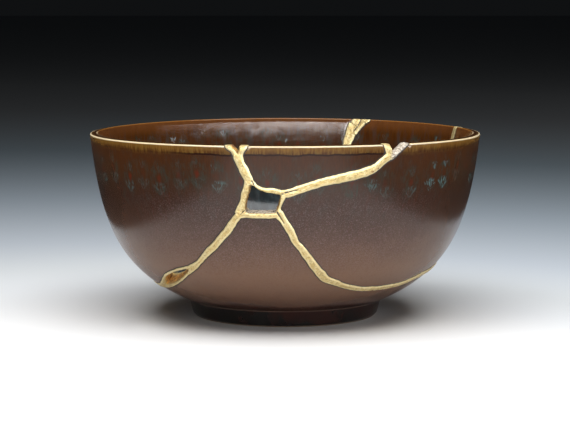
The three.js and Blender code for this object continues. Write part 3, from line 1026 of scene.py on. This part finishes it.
def dabs(paint, azimuth, reach, z, side):
    """The ring of dabs under the lip: how rust red, and how blue green, each place is."""
    step = paint.step
    turn = azimuth * (MOTIFS / (2 * math.pi)) + side * 0.37
    cell = paint.node("Math", {"operation": "FLOOR"}, [turn])
    sideways, upward = paint.chance(cell + side * 91), paint.chance(cell * 1.7 + 40.3)
    strength = paint.chance(cell * 2.3 + 11.7)
    across = (turn - cell - 0.5 - (sideways - 0.5) * 0.6) * (2 * math.pi / MOTIFS) * reach
    above = z - (MOTIF_HEIGHT + (upward - 0.5) * 5.0)
    ragged = (paint.noise(paint.vector(across, above * 0.5, cell * 3.1), 1.1, 3, 0.6) - 0.5) * 2.4
    spot = ((across / 0.95) ** 2 + (above / 1.6) ** 2) ** 0.5 + ragged * 0.8
    rust = (1 - step(spot, 0.2, 1.5)) * (0.1 + 0.9 * strength)
    ring = ((across / 1.3) ** 2 + (above / 1.9) ** 2) ** 0.5 + ragged
    patchy = step(paint.noise(paint.vector(across * 1.2, above * 0.5, cell * 1.3), 1.6, 3, 0.6), 0.4, 0.62)
    haze = (1 - step(abs(ring - 2.4), 0.1, 2.0)) * patchy * (0.35 + 0.65 * paint.chance(cell * 4.1 + 9))
    low = feathers(paint, across + (sideways - 0.5) * 2, above + 7.2, 6.4, 0.85, cell * 5.3)
    high = feathers(paint, across - (sideways - 0.5) * 1.5, above - 1.6, 4.2, 0.6, cell * 7.9 + 3)
    crystals = paint.node("Math", {"operation": "MAXIMUM"}, [low, high * 0.7])
    return rust, crystals * paint.chance(cell * 3.7 + 5), haze


def brown_glaze():
    paint = Finish("brown_glaze")
    step, mix = paint.step, paint.mix
    place = paint.place()
    x, y, z = paint.split(place)
    reach = (x * x + y * y) ** 0.5
    azimuth = paint.node("Math", {"operation": "ARCTAN2"}, [x, 0 - y])
    front = (0 - y) / reach
    frontal = step(front, 0.5, 0.95)
    edge, run = paint.note("edge"), paint.note("run")
    inside = step(run, -0.3, 0.3)
    outer = 1 - inside

    drift = paint.noise(place, 14, 2)
    runs = paint.noise(paint.vector(x, y, z * 0.2), 1.6, 3, 0.6)
    fine_runs = paint.noise(paint.vector(x * 1.3, y * 1.3, z * 0.12 + 40), 0.8, 2)
    wide_runs = paint.noise(paint.vector(x, y, z * 0.14 + 20), 3.4, 3, 0.6)
    grain = paint.noise(place, 0.5, 3, 0.7)
    clouds = paint.noise(paint.vector(x, y, z * 0.6 + 90), 3.2, 3, 0.6)

    # The body of the glaze, outside and inside, by height.
    body = paint.ramp(z + (drift - 0.5) * 8 + (runs - 0.5) * 4, 7, 80, BODY_TONES)
    within = paint.coats(
        paint.ramp(z + (drift - 0.5) * 5, 7, 80, INSIDE_TONES),
        (step(wide_runs, 0.5, 0.66) * 0.6, "3d474a"),
        (step(wide_runs, 0.46, 0.32) * 0.7, "2c150c"))
    upper = step(z, 40, 62)
    speckled = (1 - step(abs(z - 44), 8, 22)) * outer
    color = paint.coats(
        mix(inside, body, within),
        (step(runs, 0.50, 0.78) * (0.2 + 0.2 * upper), "5e2a14"),
        (step(clouds, 0.48, 0.72) * 0.35 * upper, "3d3f38"),
        (step(fine_runs, 0.35, 0.65) * 0.22 * upper, "2a1a12"),
        ((1 - frontal) * step(z, 56, 76) * 0.45, "5a3110"),
        (step(grain, 0.5, 0.66) * 0.4 * speckled * frontal, "8a7076"),
        (step(grain, 0.5, 0.34) * 0.35 * (0.3 + 0.7 * speckled), "2e1e1a"))

    # The ring of dabs, with its crystals clearest towards the right.
    rust_out, green_out, haze_out = dabs(paint, azimuth, reach, z, 0)
    rust_in, green_in, haze_in = dabs(paint, azimuth, reach, z - 1.5, 1)
    rust = rust_out * outer + rust_in * inside * 0.5
    crystal_side = step(azimuth, 0.65, 0.8) * (1 - step(azimuth, 1.25, 1.5))
    green = green_out * outer * (0.3 + 0.7 * crystal_side) + green_in * inside * 0.6
    haze = haze_out * outer + haze_in * inside
    color = paint.coats(color, (haze * 0.6, "344239"), (rust * 0.75, "6c220f"), (green * 0.9, "6a9a9c"))

    # The amber band under the lip, with a dark line at its foot.
    wave = paint.noise(paint.vector(x, y, 0.0), 7, 2)
    foot_of_band = BAND_FOOT + (wave - 0.5) * 1.6
    crisp = step(front, 0.8, 0.93) * outer
    soft = 0.22 + (1 - crisp) * (1.1 + 2.2 * (runs - 0.3)) + inside * 0.8
    band = step((z - foot_of_band) / soft, -1, 1)
    amber = paint.coats(
        mix(step(fine_runs, 0.38, 0.62), "57320c", "7e5a22"),
        (step(runs, 0.52, 0.7) * 0.6, "5b5226"),
        (step(clouds, 0.48, 0.68) * 0.75, "4c2405"),
        (step(run, -5.0, -2.0) * outer * 0.5, "a27430"),
        (inside, mix(clouds, "7c4c28", "60381a")))
    line = (1 - step(abs(z - foot_of_band), 0.22, 0.5)) * (0.15 + 0.85 * crisp) * outer
    color = paint.coats(color, (band * 0.92, amber), (line * 0.95, "2a1005"))

    # The lip: a dark top between two paler edges. The outer edge is pale where the glaze thins over the clay,
    # and that pale paint is also a painted highlight; the inner edge is amber, with a painted highlight on it
    # towards the sides.
    outer_corner = 1 - step(abs(run + 1.5), 0.25, 0.6)
    inner_corner = 1 - step(abs(run - 1.45), 0.1, 0.45)
    # painted highlight on the inner edge of the lip, only where the bowl turns away to the sides
    beside = (1 - step(front, 0.34, 0.48)) * step(front, -0.05, 0.1)
    color = paint.coats(
        color,
        ((1 - step(abs(run), 0.9, 1.2)) * 0.85, "331c08"),
        (outer_corner * 0.95, "f0dcb4"),
        (inner_corner * 0.5, "a5702f"),
        (inner_corner * beside, "f0d9ae"))

    # The foot, bare clay where it stands. Above it are a painted dark reflection line and a painted highlight
    # at the waist.
    # painted shade: a dark red line that stands in for the lowest wall's reflection of the dark foot and its
    # shadow
    dark_reflection_line = 1 - step(abs(z - 9.45 - (drift - 0.5) * 0.25), 0.08, 0.26)
    foot_tone = mix(step(drift + 0.3 * (clouds - 0.5), 0.42, 0.66), "1a1715", "34160f")
    bare = (1 - step(z + (grain - 0.5) * 0.3, 0.35, 0.75)) * outer
    # a dark line along the gold: partly the lacquer beside the seam, partly a painted contact shadow
    lacquer_and_shadow = 1 - step(edge + (clouds - 0.5) * 0.25, 0.2, 0.5)
    color = paint.coats(
        color,
        ((1 - step(z, 8.9, 9.3)) * outer * 0.8, "3f2720"),
        (dark_reflection_line * outer * 0.85, "4a1510"),
        # painted highlight: a pale line along the waist
        ((1 - step(abs(z - WAIST_HEIGHT), 0.12, 0.5)) * outer * 0.8, "6b5a50"),
        ((1 - step(z, 6.6, 7.2)) * outer, foot_tone),
        (bare, mix(grain, "a08669", "7c6248")),
        (lacquer_and_shadow * 0.95, "140a05"))

    roughness = 0.045 + 0.175 * outer + 0.06 * (grain - 0.5) + bare * 0.6 + lacquer_and_shadow * 0.5
    relief = runs * 0.25 + grain * 0.12 + drift * 0.8 + green * 0.25
    return paint.surface(color, roughness, relief, 0.10, IOR=1.42)


# ---- Gold powder on lacquer

def pale_gold():
    paint = Finish("pale_gold")
    step, mix = paint.step, paint.mix
    place = paint.place()
    edge, opened = paint.note("edge"), paint.note("open")
    along, across = paint.note("along"), paint.note("across")
    silver, crease = paint.note("silver"), paint.note("crease")

    brush = paint.noise(paint.vector(across, along * 0.10, 0.0), 0.5, 3, 0.6)
    mottle = paint.noise(place, 1.6, 3, 0.65)
    grain = paint.noise(place, 0.75, 2, 0.8)
    powder = paint.noise(place, 0.3, 2, 0.7)
    # painted highlight: a paler line along the bead's rounded shoulders, where the dark grain is also held
    # back
    ridge_highlight = 1 - step(abs(edge - 0.55 + (mottle - 0.5) * 0.3), 0.2, 0.5)
    spots = paint.node("TexVoronoi", {"feature": "F1"}, {"Vector": place, "Scale": 0.38, "Randomness": 1.0})
    pits = (1 - step(spots, 0.10, 0.17)) * step(paint.noise(place, 5, 1), 0.5, 0.6) * step(edge, 0.3, 0.6)
    orange = mix(step(mottle, 0.4, 0.6), "d09a45", "6e3b10")
    whites = mix(step(grain, 0.4, 0.6), "d8cfc2", "75685c")
    whites = mix(step(mottle, 0.55, 0.7) * 0.5, whites, "c9a98c")
    # a dark rim round the gold: partly lacquer, partly a painted contact shadow
    lacquer_and_shadow = 1 - step(edge + (grain - 0.5) * 0.2, 0.06, 0.2)
    hollow = step(crease, 0.25, 0.7)
    dark = paint.node("Math", {"operation": "MAXIMUM"}, [lacquer_and_shadow * 0.9, hollow])
    color = paint.coats(
        mix(step(mottle, 0.35, 0.68), "c9ac68", "decd98"),
        (step(grain, 0.5, 0.62) * 0.75 * (1 - ridge_highlight), "9c8148"),
        (step(brush, 0.48, 0.7) * 0.5, "e6d8aa"),
        (step(powder, 0.5, 0.7) * 0.4, "8f7440"),
        (ridge_highlight * 0.4, "f3e4b4"),
        (pits * 0.9, "8a4d18"),
        (opened * (1 - silver) * 0.9, orange),
        (silver * 0.9, whites),
        (dark, "33200f"))

    metal = (1 - dark) * (1 - 0.5 * silver) * (1 - opened * 0.4)
    roughness = 0.42 + 0.22 * (grain - 0.5) + 0.12 * (brush - 0.5) + 0.15 * opened
    relief = brush * 0.5 + grain * 0.8 + powder * 0.3 + mottle * 0.6 - pits * 1.6
    material = paint.surface(color, roughness, relief, 0.16)
    paint.join(paint.shader.inputs["Metallic"], metal * 0.4)
    return material


glaze, gold = brown_glaze(), pale_gold()
for node, piece in pieces.items():
    piece.data.materials.append(gold if node == "gold_seams" else glaze)


# ---- Plain studio

# The screen of light in front: its top's elevation in degrees by azimuth, how bright it is, and
# how it fades towards its top.
SCREEN_EDGE = [
    (-43, 11.0), (-33, 12.2), (-10, 12.8), (16, 12.6), (36, 11.7), (57, 10.0), (80, 7.8), (90, 6.5)]
SCREEN_GLOW = 24.0
SCREEN_FADE = [(0, 1.0), (0.84, 1.0), (0.88, 0.3), (1.0, 0.0)]
SCREEN_FOOT = 0.15        # share of its height at which it begins

LAMP_POWER = 8.3          # watts
ROOM_TONE = (0.005, 0.0055, 0.006, 1)
FLOOR_HALF = 8.0          # metres
FLAG_TOP = 0.08

EYE = (0, -0.8906, 0.14485)
LOOK_DOWN = 6.4807        # degrees below level
LENS = 128.96             # mm, for the sensor's width
SENSOR = 36


def plane(name, corners):
    mesh = bpy.data.meshes.new(name)
    mesh.from_pydata(corners, [], [(0, 1, 2, 3)])
    sheet = placed(name, mesh)
    return sheet


def pale_floor():
    """Paper graded in colour as a painted falloff of light: palest round the bowl, darker and bluer further
    off, lighter again far away.
    """
    half = FLOOR_HALF
    floor = plane("floor", [(-half, -half, 0), (half, -half, 0), (half, half, 0), (-half, half, 0)])
    paper = Finish("pale_floor")
    place = paper.place()
    x, y, _ = paper.split(place)
    fibres = paper.noise(place, 3, 3)
    # the painted falloff of light is skewed slightly across, by x
    away = (x * x + (y + 120 + x * 0.35) ** 2) ** 0.5
    color = paper.ramp(away, 0, 2000, [
        (0, (0.84, 0.84, 0.84)), (120, (0.82, 0.82, 0.82)), (190, (0.72, 0.74, 0.76)),
        (245, (0.65, 0.68, 0.70)), (340, (0.55, 0.60, 0.66)), (560, (0.43, 0.50, 0.57)),
        (950, (0.27, 0.34, 0.39)), (1500, (0.36, 0.38, 0.40)), (2000, (0.5, 0.52, 0.54))])
    near_edge = paper.step(y, -360, -245)
    color = paper.mix(near_edge, (0.02, 0.02, 0.02), color)
    floor.data.materials.append(paper.surface(color, 0.7 + 0.05 * fibres, fibres, 0.02))


def black_flag(name, x):
    """A black card beside the bowl, which shows only in its gloss."""
    flag = plane(name, [(x, -0.5, 0), (x, 0.6, 0), (x, 0.6, FLAG_TOP), (x, -0.5, FLAG_TOP)])
    card = Finish("black_card")
    card.join(card.shader.inputs["Base Color"], (0.004, 0.004, 0.004))
    card.join(card.shader.inputs["Roughness"], 0.9)
    flag.data.materials.append(card.material)
    flag.visible_camera = flag.visible_diffuse = flag.visible_shadow = False
    flag.visible_transmission = False


def reflector(name, centre, reach, edge, glow):
    """A long curved screen of light in front, which shows only in gloss. The edge gives its top's
    elevation in degrees by azimuth, and the glow how bright it is from its foot to its top."""
    corners, shares = [], []
    for turn in np.radians(np.linspace(edge[0][0], edge[-1][0], 60)):
        top = math.tan(math.radians(np.interp(math.degrees(turn), *zip(*edge))))
        for share in (0.0, 1.0):
            corners.append((
                centre[0] + reach * math.sin(turn), centre[1] - reach * math.cos(turn),
                centre[2] + reach * top * (SCREEN_FOOT + (1 - SCREEN_FOOT) * share)))
            shares.append(share)
    mesh = bpy.data.meshes.new(name)
    mesh.from_pydata(corners, [], [(i, i + 2, i + 3, i + 1) for i in range(0, len(corners) - 2, 2)])
    mesh.attributes.new("share", "FLOAT", "POINT").data.foreach_set("value", shares)
    screen = placed(name, mesh)
    cloth = Finish("screen")
    lit = cloth.ramp(cloth.note("share"), 0, 1, [(at, (level,) * 3) for at, level in glow])
    cloth.join(cloth.shader.inputs["Emission Color"], lit)
    cloth.join(cloth.shader.inputs["Emission Strength"], SCREEN_GLOW)
    cloth.join(cloth.shader.inputs["Base Color"], (0.0, 0.0, 0.0))
    mesh.materials.append(cloth.material)
    screen.visible_camera = screen.visible_diffuse = screen.visible_shadow = False


def soft_light(name, place, aim, size, power):
    light = bpy.data.lights.new(name, "AREA")
    light.shape = "RECTANGLE"
    light.size, light.size_y = size
    light.energy = power
    lamp = placed(name, light)
    lamp.location = place
    lamp.rotation_euler = (Vector(aim) - Vector(place)).to_track_quat("-Z", "Y").to_euler()
    lamp.visible_camera = False


def studio():
    world = bpy.data.worlds.new("studio")
    bpy.context.scene.world = world
    world.use_nodes = True
    world.node_tree.nodes["Background"].inputs["Color"].default_value = ROOM_TONE
    bpy.context.scene.view_settings.view_transform = "Standard"
    pale_floor()
    black_flag("left_flag", -0.14)
    black_flag("right_flag", 0.155)
    soft_light("overhead", (0, -0.2, 0.6), (0, -0.16, 0), (0.8, 0.6), LAMP_POWER)
    reflector("screen", (0, 0.08, 0.077), 1.15, SCREEN_EDGE, SCREEN_FADE)


def camera():
    data = bpy.data.cameras.new("camera")
    data.lens = LENS
    data.sensor_width = SENSOR
    eye = placed("camera", data)
    eye.location = EYE
    eye.rotation_euler = (math.radians(90 - LOOK_DOWN), 0, 0)
    bpy.context.scene.camera = eye


studio()
camera()
